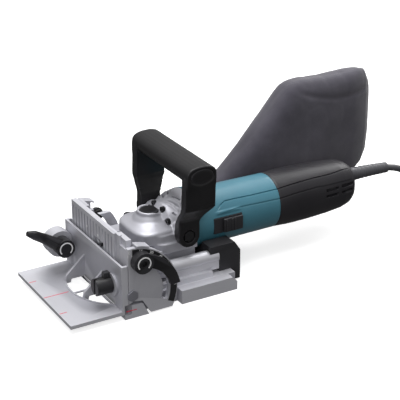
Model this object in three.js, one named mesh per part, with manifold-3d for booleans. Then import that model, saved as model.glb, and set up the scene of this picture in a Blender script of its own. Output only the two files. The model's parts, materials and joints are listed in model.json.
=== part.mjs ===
// Biscuit (plate) joiner: blade cover on a flat sole, tilting fence with an angle guide in front,
// and a motor unit that slides forward on two rods to plunge the blade.
// Millimetres. +Z is up, -X is the cutting direction, +Y is the dust bag's side.
// The origin is where the blade spindle's axis meets the sole's plane.
import * as THREE from 'three';
import { mergeVertices } from 'three/addons/utils/BufferGeometryUtils.js';
import Module from 'manifold-3d';

const wasm = await Module();
wasm.setup();

// ---------- driving dimensions ----------
const GAP = 0.3; // air between touching pieces
const RUN = 0.12; // radial running clearance
const HALF_WIDTH = 69.5; // half of the tool's width at the fence
const BLADE_R = 50;
const PIVOT_X = -47; // tilt axis of the fence
const PIVOT_Z = 27;
const FENCE_FACE = -54; // X of the fence's front face
const MOTOR_Z = 62.5; // height of the motor's axis
const SECTOR_R = 54; // outer radius of the tilt quadrants
const SLOT_R = 40; // radius of the arc slot in each quadrant
const LOCK_ANGLE = 14; // angle of the lock stud from straight up, towards the rear
const CHAMBER_TOP = 16;
const ROD_Y = 44;
const ROD_Z = 34;
const ROD_R = 5;
const PINION_R = 6; // pitch radius of the height pinion
const PINION_TEETH = 12;

// ---------- materials ----------
const material = (color, roughness, metalness) =>
  new THREE.MeshStandardMaterial({ color, roughness, metalness });
const aluminium = material(0xa9a9b4, 0.45, 0.85);
const darkAluminium = material(0x8b8b96, 0.5, 0.8);
const steel = material(0xb9bbc0, 0.3, 1.0);
const blackSteel = material(0x2c2c2f, 0.5, 0.6);
const blackPlastic = material(0x2b2b2e, 0.55, 0.0);
const teal = material(0x4b8ca0, 0.4, 0.0);
const rubber = material(0x3a3a3f, 0.8, 0.0);
const copper = material(0xa8643a, 0.4, 0.9);
const fabric = material(0x4b4952, 0.95, 0.0);
const scaleBlack = material(0x1c1c1e, 0.5, 0.0);

// ---------- geometry helpers ----------
const solid = (geometry) => {
  const bare = new THREE.BufferGeometry();
  bare.setAttribute('position', geometry.getAttribute('position').clone());
  if (geometry.index) bare.setIndex(geometry.index.clone());
  const merged = mergeVertices(bare, 1e-4);
  return new wasm.Manifold(new wasm.Mesh({
    numProp: 3,
    vertProperties: new Float32Array(merged.getAttribute('position').array),
    triVerts: new Uint32Array(merged.index.array),
  }));
};
const geometryOf = (manifold) => {
  const mesh = manifold.getMesh();
  const geometry = new THREE.BufferGeometry();
  geometry.setAttribute('position', new THREE.BufferAttribute(mesh.vertProperties, 3));
  geometry.setIndex(new THREE.BufferAttribute(mesh.triVerts, 1));
  return geometry;
};
const join = (first, ...others) => others.reduce((sum, piece) => sum.add(piece), first);
const cut = (first, ...others) => others.reduce((rest, piece) => rest.subtract(piece), first);

// Box between two corners.
const box = (x0, x1, y0, y1, z0, z1) => {
  const geometry = new THREE.BoxGeometry(x1 - x0, y1 - y0, z1 - z0);
  geometry.translate((x0 + x1) / 2, (y0 + y1) / 2, (z0 + z1) / 2);
  return solid(geometry);
};
// Extrusions of a shape drawn in XY, XZ or YZ, along the remaining axis.
const extruded = (shape, depth, curveSegments) =>
  new THREE.ExtrudeGeometry(shape, { depth, bevelEnabled: false, curveSegments });
const alongZ = (shape, z0, z1, curveSegments = 12) => {
  const geometry = extruded(shape, z1 - z0, curveSegments);
  geometry.translate(0, 0, z0);
  return solid(geometry);
};
const alongY = (shape, y0, y1, curveSegments = 12) => {
  const geometry = extruded(shape, y1 - y0, curveSegments);
  geometry.rotateX(Math.PI / 2);
  geometry.translate(0, y1, 0);
  return solid(geometry);
};
const alongX = (shape, x0, x1, curveSegments = 12) => {
  const geometry = extruded(shape, x1 - x0, curveSegments);
  geometry.applyMatrix4(new THREE.Matrix4().set(0, 0, 1, 0, 1, 0, 0, 0, 0, 1, 0, 0, 0, 0, 0, 1));
  geometry.translate(x0, 0, 0);
  return solid(geometry);
};
const polygon = (points) => new THREE.Shape(points.map(([a, b]) => new THREE.Vector2(a, b)));
// Cylinders along each axis, from one end to the other.
const cylinder = (radius, length, segments) => new THREE.CylinderGeometry(radius, radius, length, segments);
const cylX = (x0, x1, y, z, radius, segments = 16) => {
  const geometry = cylinder(radius, x1 - x0, segments);
  geometry.rotateZ(-Math.PI / 2);
  geometry.translate((x0 + x1) / 2, y, z);
  return solid(geometry);
};
const cylY = (y0, y1, x, z, radius, segments = 16) => {
  const geometry = cylinder(radius, y1 - y0, segments);
  geometry.translate(x, (y0 + y1) / 2, z);
  return solid(geometry);
};
const cylZ = (z0, z1, x, y, radius, segments = 16) => {
  const geometry = cylinder(radius, z1 - z0, segments);
  geometry.rotateX(Math.PI / 2);
  geometry.translate(x, y, (z0 + z1) / 2);
  return solid(geometry);
};
// Solids of revolution: the profile lists [radius, height] and closes on the axis or on itself.
const lathe = (profile, segments) =>
  new THREE.LatheGeometry(profile.map(([r, h]) => new THREE.Vector2(r, h)), segments);
const latheZ = (profile, x, y, segments = 36) => {
  const geometry = lathe(profile, segments);
  geometry.rotateX(Math.PI / 2);
  geometry.translate(x, y, 0);
  return solid(geometry);
};
const latheX = (profile, y, z, segments = 24) => {
  const geometry = lathe(profile, segments);
  geometry.rotateZ(-Math.PI / 2);
  geometry.translate(0, y, z);
  return solid(geometry);
};
// Skin through rings of equal point counts, closed with a fan at each end.
const loft = (rings) => {
  const count = rings[0].length;
  const centre = (ring) => ring
    .reduce((sum, point) => sum.add(point), new THREE.Vector3())
    .divideScalar(count);
  const points = [...rings.flat(), centre(rings[0]), centre(rings[rings.length - 1])];
  const index = [];
  for (let r = 0; r < rings.length - 1; r += 1) {
    for (let i = 0; i < count; i += 1) {
      const a = r * count + i;
      const b = r * count + (i + 1) % count;
      index.push(a, b, b + count, a, b + count, a + count);
    }
  }
  const first = points.length - 2;
  const last = first + 1;
  const lastRing = (rings.length - 1) * count;
  for (let i = 0; i < count; i += 1) {
    index.push(first, (i + 1) % count, i);
    index.push(last, lastRing + i, lastRing + (i + 1) % count);
  }
  const geometry = new THREE.BufferGeometry().setFromPoints(points);
  geometry.setIndex(index);
  return solid(geometry);
};
// Rounded section across the X axis, as a superellipse.
const sectionX = (x, zMid, halfY, halfZ, power = 2.4, count = 28) => {
  const ring = [];
  for (let i = 0; i < count; i += 1) {
    const angle = (i / count) * 2 * Math.PI;
    const c = Math.cos(angle);
    const s = Math.sin(angle);
    const y = Math.sign(c) * Math.abs(c) ** (2 / power) * halfY;
    const z = Math.sign(s) * Math.abs(s) ** (2 / power) * halfZ;
    ring.push(new THREE.Vector3(x, y, zMid + z));
  }
  return ring;
};
const polar = (radius, degreesFromUp) => {
  const angle = THREE.MathUtils.degToRad(degreesFromUp);
  return [radius * Math.sin(angle), radius * Math.cos(angle)];
};
// Band between two radii about the origin, in XZ, angles from straight up towards +X.
const bandShape = (inner, outer, from, to, steps = 20) => {
  const points = [];
  for (let i = 0; i <= steps; i += 1) points.push(polar(outer, from + ((to - from) * i) / steps));
  for (let i = steps; i >= 0; i -= 1) points.push(polar(inner, from + ((to - from) * i) / steps));
  return polygon(points.reverse());
};
const add = (group, name, shape, surface) => {
  const mesh = new THREE.Mesh(geometryOf(shape), surface);
  mesh.name = name;
  group.add(mesh);
};

const joiner = new THREE.Group();
const bodyGroup = (x = 0, y = 0, z = 0, parent = joiner) => {
  const group = new THREE.Group();
  group.position.set(x, y, z);
  parent.add(group);
  return group;
};
const sides = [['left', -1], ['right', 1]];
const [lockX, lockZ] = polar(SLOT_R, LOCK_ANGLE);

// ---------- base: blade cover and sole ----------
const base = bodyGroup();
const SOLE_FRONT = -49.7;
const SOLE_REAR = 85;
const DECK_FRONT = -46.6; // clear of the fence panel's lower edge at full tilt
const DECK_TOP = 22;
const INNER_HALF = 59.4; // half-width between the quadrants

// Stadium-shaped outline that the blade sweeps from rest to full plunge.
const sweptOutline = (radius, front, rear) => {
  const points = [];
  for (let i = 0; i <= 24; i += 1) {
    const angle = -Math.PI / 2 + (i / 24) * Math.PI;
    points.push([rear + radius * Math.cos(angle), radius * Math.sin(angle)]);
  }
  return polygon([...points, [front, radius], [front, -radius]]);
};
const bladeChamber = alongZ(sweptOutline(BLADE_R + 3.5, SOLE_FRONT - 10, 0), 5, CHAMBER_TOP - 2);
const coverRecess = alongZ(sweptOutline(52, -44.6, 0), -1, 6);
const frontFoot = polygon([[-55.7, 0], [-27.4, 0], [-34.8, 15], [-47, 16], [-55.7, 10]]);
const upright = polygon([
  [-41.4, 14], [-20, 14], [-27, 60], [-29.5, 72.5], [-41.4, 72.5], [-41.4, 40],
]);
const rearRail = polygon([[12.5, 0], [82, 0], [82, 10], [76, 16], [12.5, 16]]);
const castingParts = [
  box(SOLE_FRONT, SOLE_REAR, -INNER_HALF, INNER_HALF, 0, CHAMBER_TOP),
  box(DECK_FRONT, 58.5, 20.5, INNER_HALF - 3, CHAMBER_TOP - 1, DECK_TOP),
  box(DECK_FRONT, 58.5, -INNER_HALF + 3, -20.5, CHAMBER_TOP - 1, DECK_TOP),
  box(22, 58.5, -21, 21, CHAMBER_TOP - 1, DECK_TOP),
];
for (const [, side] of sides) {
  const inner = side * (INNER_HALF - 1);
  const outer = side * HALF_WIDTH;
  const [low, high] = inner < outer ? [inner, outer] : [outer, inner];
  const earInner = side * 52;
  const [earLow, earHigh] = side > 0 ? [earInner, INNER_HALF] : [-INNER_HALF, earInner];
  castingParts.push(
    alongY(frontFoot, low, high),
    alongY(rearRail, low, high),
    alongY(upright, ...(side > 0 ? [55, INNER_HALF] : [-INNER_HALF, -55])),
    cylY(earLow, earHigh, PIVOT_X, PIVOT_Z, 7.2),
    box(PIVOT_X, -38, earLow, earHigh, 14, 33),
    box(7, 70, side * ROD_Y - 6, side * ROD_Y + 6, 20, ROD_Z),
    cylX(7, 70, side * ROD_Y, ROD_Z, 7.5),
  );
}
const baseCasting = cut(
  join(...castingParts),
  bladeChamber,
  coverRecess,
  // stepped front at the ends, so that the angle guide's lower corner swings past
  box(-60, -47.7, 50.8, 80, 5, 18.4),
  box(-60, -47.7, -80, -50.8, 5, 18.4),
  // roof lip cut back, so that the angle guide's sill swings past
  box(-60, DECK_FRONT, -50.8, 50.8, CHAMBER_TOP - 2.1, DECK_TOP),
  // slot for the gear housing's nose
  box(-60, 21.5, -20.8, 20.8, CHAMBER_TOP - 3, 30),
  // relief for the motor unit's front shoes
  box(-46, 7.2, 34, 53.5, 22.2, 50),
  box(-46, 7.2, -53.5, -34, 22.2, 50),
  ...sides.flatMap(([, side]) => [
    cylX(0, 90, side * ROD_Y, ROD_Z, ROD_R + RUN),
    cylY(...(side > 0 ? [40, 80] : [-80, -40]), PIVOT_X, PIVOT_Z, 4.2),
    cylY(...(side > 0 ? [54, 80] : [-80, -54]), PIVOT_X + lockX, PIVOT_Z + lockZ, 3.2),
  ]),
  // room for the dust port, and its outlet from the chamber
  box(24, 90, INNER_HALF, 80, -1, 30),
  cylY(30, 80, 42, 10, 4),
);
add(base, 'base_casting', baseCasting, aluminium);

// Blade cover plate under the chamber, hinged at its rear edge and held by a quarter-turn screw.
const SCREW_X = -39;
const cover = bodyGroup();
add(cover, 'bottom_cover', cut(
  alongZ(sweptOutline(51.5, -44, 0), 0, 4.6),
  cylZ(-1, 6, SCREW_X, 0, 3.4),
), darkAluminium);
add(cover, 'cover_screw', cut(
  cylZ(0.8, 4.4, SCREW_X, 0, 3.0),
  box(SCREW_X - 4, SCREW_X + 4, -0.5, 0.5, 0, 2),
), blackSteel);

// Rear block: black housing of the depth stop, saddled around the motor.
const rearOutline = polygon([
  [59, 16.3], [85.3, 16.3], [85.3, 1.5], [97.5, 1.5], [97.5, 36.5], [90, 47.5], [59, 47.5],
]);
const TURRET_Y = 59;
const TURRET_Z = 44;
add(base, 'rear_block', cut(
  join(
    alongY(rearOutline, -50, 50),
    box(62, 69.5, 49, 66, 36, 50),
  ),
  cylX(60, 71, TURRET_Y, TURRET_Z, 3.2, 20),
  cylX(40, 120, 0, MOTOR_Z, 35, 32),
  ...sides.flatMap(([, side]) => [
    cylX(40, 70.5, side * ROD_Y, ROD_Z, 7.9),
    box(40, 70.5, side * ROD_Y - 6.4, side * ROD_Y + 6.4, 10, ROD_Z),
  ]),
  cylX(58, 104, 0, 20, 4.4),
), blackPlastic);

// Pivot bolts, lock studs and pointer plates of the tilting fence.
for (const [name, side] of sides) {
  const span = (from, to) => (side > 0 ? [from, to] : [-to, -from]);
  add(base, `pivot_bolt_${name}`, join(
    cylY(...span(52, 69.8), PIVOT_X, PIVOT_Z, 4),
    cylY(...span(69.8, 72), PIVOT_X, PIVOT_Z, 6.5, 6),
  ), steel);
  add(base, `lock_stud_${name}`, cylY(...span(54, 78), PIVOT_X + lockX, PIVOT_Z + lockZ, 3), steel);
  const pointer = alongY(bandShape(SECTOR_R + 0.8, SECTOR_R + 2.4, 6, 22, 6), ...span(59.7, 70.8));
  add(base, `pointer_plate_${name}`, cut(
    join(pointer.translate([PIVOT_X, 0, PIVOT_Z]), box(-40.5, -31, ...span(59.7, 61.2), 58, 80.3)),
    cylY(...span(50, 80), PIVOT_X + lockX, PIVOT_Z + lockZ, 3.3),
  ), aluminium);
}

// Dust port: elbow on the right of the base, rising towards the bag's neck.
const ringsAlong = (points, radii, count = 20) => {
  const curve = new THREE.CatmullRomCurve3(points.map((p) => new THREE.Vector3(...p)));
  const steps = radii.length - 1;
  const frames = curve.computeFrenetFrames(steps, false);
  return radii.map((radius, k) => {
    const centre = curve.getPointAt(k / steps);
    const ring = [];
    for (let i = 0; i < count; i += 1) {
      const angle = (i / count) * 2 * Math.PI;
      ring.push(centre.clone()
        .addScaledVector(frames.normals[k], radius * Math.cos(angle))
        .addScaledVector(frames.binormals[k], radius * Math.sin(angle)));
    }
    return ring;
  });
};
const portPath = [[44, 60, 11], [47, 68, 12], [58, 77, 17], [78, 81, 25], [104, 82, 36]];
const portOuter = loft(ringsAlong(portPath, [9, 11, 13, 15, 16, 16, 16], 20));
const portInner = loft(ringsAlong(
  [[43, 58, 10.5], [47, 68, 12], [58, 77, 17], [78, 81, 25], [107, 82.1, 37.3]],
  [7, 8.5, 10.5, 12.5, 13.5, 13.5, 13.5],
  20,
));
const portFlange = box(30, 60, 59.8, 62.5, 3, 19.5);
const portShell = join(cut(portOuter, box(0, 200, 20, 59.8, -20, 80)), portFlange);
add(base, 'dust_port', cut(portShell, portInner), blackPlastic);

// Dust bag: soft, standing on its neck behind the motor.
const bagSection = (x, zLow, zHigh, half, yMid) => {
  const ring = [];
  const zMid = (zLow + zHigh) / 2;
  for (let i = 0; i < 24; i += 1) {
    const angle = (i / 24) * 2 * Math.PI;
    const c = Math.cos(angle);
    const s = Math.sin(angle);
    ring.push(new THREE.Vector3(
      x,
      yMid + Math.sign(c) * Math.abs(c) ** 0.9 * half,
      zMid + Math.sign(s) * Math.abs(s) ** 0.8 * ((zHigh - zLow) / 2),
    ));
  }
  return ring;
};
add(base, 'dust_bag', loft([
  bagSection(112.5, 20, 54, 17, 82),
  bagSection(124, 16, 56, 18, 81),
  bagSection(146, 12, 70, 20, 79),
  bagSection(182, 10, 102, 23, 77.5),
  bagSection(212, 12, 134, 25, 77),
  bagSection(238, 16, 162, 26, 77),
  bagSection(256, 18, 167, 26, 77),
  bagSection(290, 24, 165.5, 26, 77),
  bagSection(330, 33, 168.5, 23, 77),
  bagSection(352, 42, 169.5, 15, 77),
  bagSection(365, 58, 150, 4, 77),
]), fabric);

// ---------- fence: panel, quadrants and scales, tilting about the pivots ----------
const fence = bodyGroup(PIVOT_X, 0, PIVOT_Z);
const FACE = FENCE_FACE - PIVOT_X; // front face from the pivot
const sectorOutline = () => {
  const points = [];
  for (let i = 0; i <= 22; i += 1) points.push(polar(SECTOR_R, -4 + (122 * i) / 22));
  return polygon([...points, [22, -25.5], [12, -9], [2, -7.5], [-3.8, -9.5]].reverse());
};
// The right quadrant and its scale end lower than the left ones.
const rightTrim = box(-28, 60, 60, 80, 33, 60);
const slotShape = () => bandShape(SLOT_R - 3.6, SLOT_R + 3.6, LOCK_ANGLE - 6, 110, 14);
const panelRibs = [];
const RIB_COUNT = 14;
for (let i = 0; i < RIB_COUNT; i += 1) {
  const y = -39.8 + i * 7.2;
  panelRibs.push(box(FACE - 1, FACE + 0.8, y, y + 3, 4, 57));
}
const CLAMP = { x: -73, z: 42 }; // axis of the guide's clamp, along Y
const KNOB_Y = -46;
const KNOB_Z = 34;
const fenceParts = [
  box(FACE, FACE + 6, -43, 51, 0.5, 62),
  box(FACE, FACE + 6, 50, 60, 12, 62),
  box(FACE + 3, FACE + 6, -50, 50, 0.5, 62),
];
for (const [, side] of sides) {
  const span = (from, to) => (side > 0 ? [from, to] : [-to, -from]);
  fenceParts.push(
    box(FACE + 5.6, FACE + 11.6, ...span(38, 61), 12, 60),
    box(FACE + 3.2, 4.6, ...span(60, 65), 11, 52),
    box(FACE + 3.2, 4.6, ...span(50, 61), 12, 52),
    side > 0
      ? cut(alongY(sectorOutline(), ...span(64.5, HALF_WIDTH)), rightTrim)
      : alongY(sectorOutline(), ...span(64.5, HALF_WIDTH)),
    cylY(...span(60.2, 65), 0, 0, 8),
  );
}
add(fence, 'fence_casting', cut(
  join(...fenceParts),
  ...panelRibs,
  // recess for the setting screw, bores and arc slots
  box(FACE - 2, FACE + 2.2, -17, 6, 29, 41),
  ...sides.flatMap(([, side]) => {
    const span = (from, to) => (side > 0 ? [from, to] : [-to, -from]);
    return [
      cylY(...span(58, 80), 0, 0, 4.2),
      alongY(slotShape(), ...span(60, 80)),
    ];
  }),
), aluminium);

for (const [name, side] of sides) {
  const face = side > 0 ? [HALF_WIDTH + GAP, HALF_WIDTH + 0.8] : [-HALF_WIDTH - 0.8, -HALF_WIDTH - GAP];
  const band = alongY(bandShape(45.4, 52.8, 1, 112, 18), ...face);
  add(fence, `scale_plate_${name}`, side > 0 ? cut(band, box(-60, 60, 60, 80, 33, 60)) : band, scaleBlack);
}
add(fence, 'setting_nut', cylX(FACE, FACE + 1.9, -4.5, 35.5, 3.4, 6), steel);
add(fence, 'setting_screw', cut(
  cylX(FACE, FACE + 1.9, -13, 36.5, 1.9, 16),
  cylX(FACE - 1, FACE + 1, -13, 36.5, 1.0, 6),
), blackSteel);

// ---------- guide carrier: rack plate between the fence and the angle guide ----------
const carrier = bodyGroup();
const CARRIER_X = [FENCE_FACE - 1.7, FENCE_FACE - GAP];
const PITCH = (2 * Math.PI * PINION_R) / PINION_TEETH;
const rackTeeth = [];
for (let i = -5; i <= 7; i += 1) {
  const z = KNOB_Z + (i + 0.5) * PITCH;
  const y = KNOB_Y + PINION_R;
  rackTeeth.push(alongX(
    polygon([[y + 2, z - 0.95], [y + 2, z + 0.95], [y - 0.6, z + 0.35], [y - 0.6, z - 0.35]]),
    ...CARRIER_X,
  ));
}
add(carrier, 'rack_plate', join(
  box(...CARRIER_X, KNOB_Y + PINION_R + 1.4, 51, 15.5, 54),
  box(...CARRIER_X, KNOB_Y + PINION_R + 1.4, -22, 53, 60),
  ...rackTeeth,
), steel);

// ---------- angle guide: L casting in front of the fence ----------
const guide = bodyGroup();
const WALL_FRONT = -58.5;
const WALL_BACK = -56;
const PLATE_FRONT = -118;
const PLATE_LOW = 6.5;
const PLATE_TOP = 10.5;
const WALL_TOP = 62;
const WINDOW_R = 62; // window that the blade comes through
const WINDOW_X = -23;
const windowShape = (radius) => {
  const half = Math.acos((WINDOW_X - WALL_FRONT) / radius);
  const points = [];
  for (let i = 0; i <= 24; i += 1) {
    const angle = Math.PI - half + (2 * half * i) / 24;
    points.push([WINDOW_X + radius * Math.cos(angle), radius * Math.sin(angle)]);
  }
  return polygon(points);
};
const gussetShape = polygon([
  [WALL_FRONT + 0.5, 12.9], [-75, 12.9], [-76, 9], [-82.5, 9], [-80.5, 18], [WALL_FRONT + 0.5, 38.7],
].reverse());
const plateBlank = box(PLATE_FRONT, WALL_BACK, -HALF_WIDTH, HALF_WIDTH, PLATE_LOW, PLATE_TOP);
const windowRim = alongZ(windowShape(WINDOW_R + 1.6), PLATE_LOW, PLATE_TOP + 1.1);
const windowHole = alongZ(windowShape(WINDOW_R), 0, 20);
const windowRib = box(-86, WALL_BACK - 0.5, -1.5, 1.5, PLATE_LOW, 7.6);
const wallSlot = box(-60, -50, -50.8, 50.8, 7.6, 14.5);
add(guide, 'angle_guide', join(
  cut(
    join(
      plateBlank,
      windowRim,
      box(WALL_FRONT, WALL_BACK, -HALF_WIDTH, HALF_WIDTH, PLATE_LOW, WALL_TOP),
      box(WALL_FRONT, -51.5, -HALF_WIDTH, -66, 17, WALL_TOP),
      box(WALL_FRONT, -51.5, 66, HALF_WIDTH, 17, WALL_TOP),
      cylY(51, 67, CLAMP.x, CLAMP.z, 15.3, 28),
      cylX(-60.5, WALL_FRONT + 0.2, KNOB_Y - 2, KNOB_Z, 12.5, 24),
    ),
    windowHole,
    wallSlot,
    cylY(50, 61, CLAMP.x, CLAMP.z, 3.3),
    cylX(-70, -50, KNOB_Y, KNOB_Z, 3.3),
  ),
  windowRib,
  alongY(gussetShape, -24, -21),
  alongY(gussetShape, 21, 24),
), aluminium);
add(guide, 'clamp_stud', cylY(40, 60, CLAMP.x, CLAMP.z, 3), steel);

// Wing lever on the clamp stud, reaching forwards and a little up.
const lever = bodyGroup(CLAMP.x, 0, CLAMP.z);
const leverSection = (x, y, z, halfY, halfZ) => {
  const ring = [];
  for (let i = 0; i < 16; i += 1) {
    const angle = (i / 16) * 2 * Math.PI;
    ring.push(new THREE.Vector3(
      x - halfZ * Math.sin(angle) * 0.4,
      y + halfY * Math.cos(angle),
      z - halfZ * Math.sin(angle),
    ));
  }
  return ring;
};
add(lever, 'clamp_lever', cut(
  join(
    cylY(36, 50.7, 0, 0, 10.5, 28),
    loft([
      leverSection(-2, 42, 2, 5, 8),
      leverSection(-13, 41.5, 9, 4.5, 6.5),
      leverSection(-24, 41, 17, 4, 5.5),
      leverSection(-34, 41, 23, 4.5, 5),
      leverSection(-42.5, 41, 27, 3, 2.6),
    ]),
  ),
  cylY(38, 52, 0, 0, 3.3),
), blackPlastic);

// Height knob with its pinion.
const knob = bodyGroup(0, KNOB_Y, KNOB_Z);
const pinionShape = new THREE.Shape();
for (let i = 0; i < PINION_TEETH; i += 1) {
  const pitchAngle = (2 * Math.PI) / PINION_TEETH;
  const corners = [[4.7, -0.2], [6.5, -0.09], [6.5, 0.09], [4.7, 0.2]];
  corners.forEach(([radius, offset], k) => {
    const angle = (i + offset) * pitchAngle;
    const point = [radius * Math.cos(angle), radius * Math.sin(angle)];
    if (i === 0 && k === 0) pinionShape.moveTo(...point);
    else pinionShape.lineTo(...point);
  });
}
pinionShape.closePath();
add(knob, 'pinion_shaft', join(
  alongX(pinionShape, ...CARRIER_X),
  cylX(-74, CARRIER_X[0] + 0.1, 0, 0, 3),
), steel);
add(knob, 'height_knob', cut(
  join(
    cylX(-79, -60.8, 0, 0, 9.5, 28),
    box(-69, -62, -3.2, 3.2, 6, 15.5),
  ),
  cylX(-74.4, -50, 0, 0, 3.3),
  box(-80, -76.5, -1.4, 1.4, -10, 10),
), blackPlastic);

// ---------- tilt lock lever (left) and angle stop plunger (right) ----------
const tiltLever = bodyGroup(PIVOT_X + lockX, 0, PIVOT_Z + lockZ);
const armShape = () => {
  const points = [];
  const centre = [-lockX, -lockZ];
  const arc = (inner, k) => {
    const t = k / 14;
    const angle = LOCK_ANGLE + 4 + t * 66;
    const radius = inner ? SLOT_R - 6 + 9 * t : SLOT_R + 9 + 4.5 * t;
    const [x, z] = polar(radius, angle);
    return [centre[0] + x, centre[1] + z];
  };
  for (let k = 0; k <= 14; k += 1) points.push(arc(false, k));
  for (let k = 14; k >= 0; k -= 1) points.push(arc(true, k));
  return polygon(points.reverse());
};
const LEVER_IN = -HALF_WIDTH - 1.1;
add(tiltLever, 'tilt_lock_lever', cut(
  join(
    cylY(-80, LEVER_IN, 0, 0, 11.5, 32),
    alongY(armShape(), -77, -71.5),
  ),
  cylY(-78.4, -60, 0, 0, 3.3),
  cylY(-82, -76, 0, 0, 3.6, 6),
), blackPlastic);

const plunger = bodyGroup(-16, 0, 56);
add(plunger, 'stop_plunger', join(
  cylY(71, 81, 0, 0, 6, 24),
  cylY(74.5, 77.5, 0, 0, 7.2, 24),
), blackPlastic);

// ---------- depth turret: six columns of different height meet the stop rod ----------
const turret = bodyGroup(0, TURRET_Y, TURRET_Z);
const COLUMN_HEIGHTS = [0, 12, 9.6, 7.2, 4.8, 0];
const TURRET_FACE = 76;
const columnShape = (k) => {
  const points = [];
  for (let i = 0; i <= 4; i += 1) {
    const angle = THREE.MathUtils.degToRad(180 - 60 * k - 28 + i * 14);
    points.push([8.6 * Math.cos(angle), 8.6 * Math.sin(angle)]);
  }
  for (let i = 4; i >= 0; i -= 1) {
    const angle = THREE.MathUtils.degToRad(180 - 60 * k - 28 + i * 14);
    points.push([3.4 * Math.cos(angle), 3.4 * Math.sin(angle)]);
  }
  return polygon(points);
};
add(turret, 'depth_turret', join(
  cylX(70, TURRET_FACE, 0, 0, 9, 36),
  cylX(62.3, 71, 0, 0, 3, 20),
  ...COLUMN_HEIGHTS.flatMap((height, k) => (
    height > 0 ? [alongX(columnShape(k), TURRET_FACE - 1, TURRET_FACE + height)] : []
  )),
), blackPlastic);

// ---------- motor unit: gear housing, motor, handle ----------
const unit = bodyGroup();
const DOME_X = 11;
const DOME_R = 28.8;
const domeProfile = [
  [0, 52], [DOME_R, 52], [DOME_R, 62], [27.4, 66.5], [24, 70.5], [18.6, 76], [16.2, 79.5],
  [14.2, 81.5], [14, 85.4], [13.2, 86.3], [11.6, 86], [11, 83.4], [0, 83.4],
];
const BUTTON = { x: 4, y: 37 };
const HANDLE_X = 33.4; // centre of the handle's bosses
const HANDLE_Z = 67.2;
// Plan outline with a rounded front, open to the motor's side.
const skirtOutline = (front, half, corner) => {
  const points = [[50, -half], [50, half]];
  for (const [from, side] of [[Math.PI / 2, 1], [Math.PI, -1]]) {
    for (let i = 0; i <= 8; i += 1) {
      const angle = from + (i / 8) * (Math.PI / 2);
      points.push([
        front + corner + corner * Math.cos(angle),
        side * (half - corner) + corner * Math.sin(angle),
      ]);
    }
  }
  return polygon(points);
};
const SHOE_FRONT = -13.6;
const nearRods = (x0, x1, radius) => sides.map(([, side]) => cylX(x0, x1, side * ROD_Y, ROD_Z, radius));
const gearCavity = join(
  latheX([[0, 0], [8.5, 0], [8.5, 38], [27, 46], [27, 60], [0, 60]], 0, MOTOR_Z),
  cylZ(44.5, 56.5, 0, 0, 12.2, 28),
);
const HOUSING_SCREWS = [-58, -22, 22, 58].map((angle) => {
  const [y, up] = polar(25.5, angle);
  return [y, MOTOR_Z + up];
});
add(unit, 'gear_housing', cut(
  join(
    latheZ(domeProfile, DOME_X, 0, 32),
    alongZ(skirtOutline(-8, 38, 24), 46, 58),
    alongZ(skirtOutline(-13, 34.5, 24), 57, 67),
    cylZ(46, 64, BUTTON.x, BUTTON.y, 7, 24),
    box(SHOE_FRONT, 50, -33, 33, 23, 47),
    box(SHOE_FRONT, 6, 34, 51.5, 27, 50),
    box(SHOE_FRONT, 6, -51.5, -34, 27, 50),
    cylZ(17, 24, 0, 0, 17, 32),
    latheX([[0, 16], [20, 16], [28, 24.3], [31.4, 44], [32.8, 46], [33.2, 53.5], [0, 53.5]], 0, MOTOR_Z, 32),
    cylY(25, 38, HANDLE_X, HANDLE_Z, 10, 28),
    cylY(-38, -25, HANDLE_X, HANDLE_Z, 10, 28),
  ),
  ...HOUSING_SCREWS.map(([y, z]) => cylX(10, 24.6, y, z, 3.6, 12)),
  gearCavity,
  cylZ(10, 60, 0, 0, 6.3),
  // bore and sunk seat of the lock button
  cylZ(52, 70, BUTTON.x, BUTTON.y, 4.3, 20),
  cylZ(61.6, 70, BUTTON.x, BUTTON.y, 5.8, 20),
  ...nearRods(-12.7, 20, ROD_R + GAP),
  // clearance over the barrels of the base
  box(6.2, 80, 34, 60, 20, 46),
  box(6.2, 80, -60, -34, 20, 46),
), aluminium);
for (const [name, side] of sides) {
  add(unit, `guide_rod_${name}`, cylX(-12.3, 66, side * ROD_Y, ROD_Z, ROD_R), steel);
}

add(unit, 'motor_housing', cut(
  join(
    latheX([[27.6, 53.8], [32.6, 53.8], [32.2, 60], [31, 162.7], [27.6, 162.7], [27.6, 53.8]], 0, MOTOR_Z, 36),
    cut(box(126, 134, 20, 60, 40, 50), cylX(120, 140, 0, MOTOR_Z, 29, 36)),
  ),
  box(74, 111, -50, -29.6, 52, 71),
  cylX(120, 140, 53, TURRET_Z, 3.3, 16),
), teal);
add(unit, 'depth_stop_rod', cylX(107, 137, 53, TURRET_Z, 3, 16), steel);

const rearSections = (shrink) => [
  sectionX(163, MOTOR_Z, 31 - shrink, 31 - shrink),
  sectionX(180, MOTOR_Z, 31 - shrink, 31 - shrink),
  sectionX(210, 62.3, 30.5 - shrink, 30.5 - shrink),
  sectionX(237, 62.3, 29 - shrink, 28.8 - shrink),
];
const ventSlots = [];
for (const x of [227, 250]) {
  for (const z of [70, 62.5]) {
    ventSlots.push(box(x, x + 17, -40, -20, z - 1.4, z + 1.4), box(x, x + 17, 20, 40, z - 1.4, z + 1.4));
  }
}
add(unit, 'rear_housing', cut(
  loft([
    ...rearSections(0),
    sectionX(256, 62.6, 27, 26.8),
    sectionX(269, 63.2, 24, 23.4),
    sectionX(275.5, 64, 17, 16.4),
  ]),
  loft([
    sectionX(155, MOTOR_Z, 27.4, 27.4),
    ...rearSections(3.6).slice(1),
    sectionX(267, 63.2, 20, 19.6),
  ]),
  ...ventSlots,
), blackPlastic);

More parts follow.
